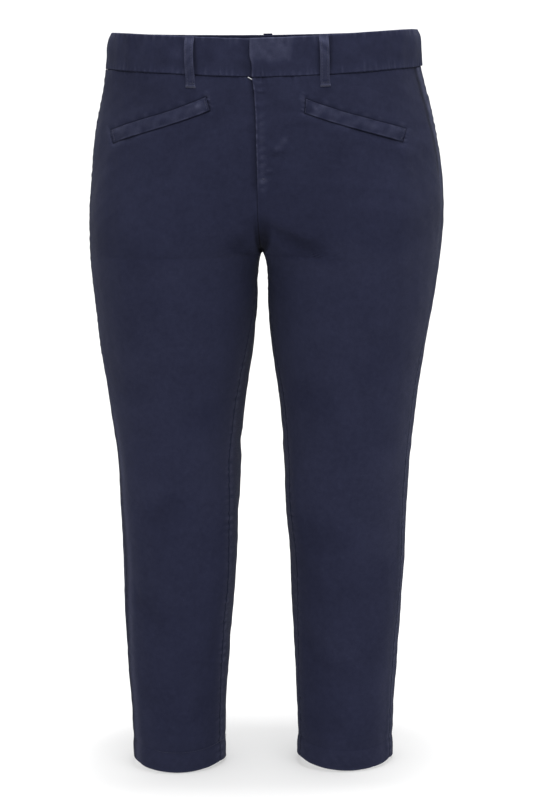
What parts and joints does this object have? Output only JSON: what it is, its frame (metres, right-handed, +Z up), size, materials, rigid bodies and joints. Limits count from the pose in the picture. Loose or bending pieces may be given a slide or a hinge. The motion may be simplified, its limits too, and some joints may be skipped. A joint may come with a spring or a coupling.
{
  "type": "skinny trousers",
  "caption": "Cropped slim-leg trousers in navy twill, hollow as if worn, with a zip fly, waistband, belt loops and slanted welt pockets",
  "frame": {"origin": "the middle of the waist, 26 mm above the waist seam at the centre front, where the wearer holds the garment", "axes": "+Z up, the front faces -Y, +X is the wearer's left"},
  "size_m": [0.4298, 0.2871, 0.9048],
  "materials": {
    "twill": "fine navy stretch-cotton twill, matt, slightly mottled, paler along seams and edges",
    "tape": "navy woven zip tape",
    "steel": "plain nickel-coloured metal"
  },
  "bodies": {
    "root": {"front_left": "twill", "front_right": "twill", "back_left": "twill", "back_right": "twill", "waistband_left": "twill", "waistband_right": "twill", "pocket_welt_left": "twill", "pocket_welt_right": "twill", "belt_loop_front_left": "twill", "belt_loop_front_right": "twill", "belt_loop_back_left": "twill", "belt_loop_back_right": "twill", "belt_loop_centre_back": "twill", "zip_tape": "tape", "zip_slider": "steel", "waist_hook": "steel", "waist_bar": "steel"}
  },
  "joints": []
}
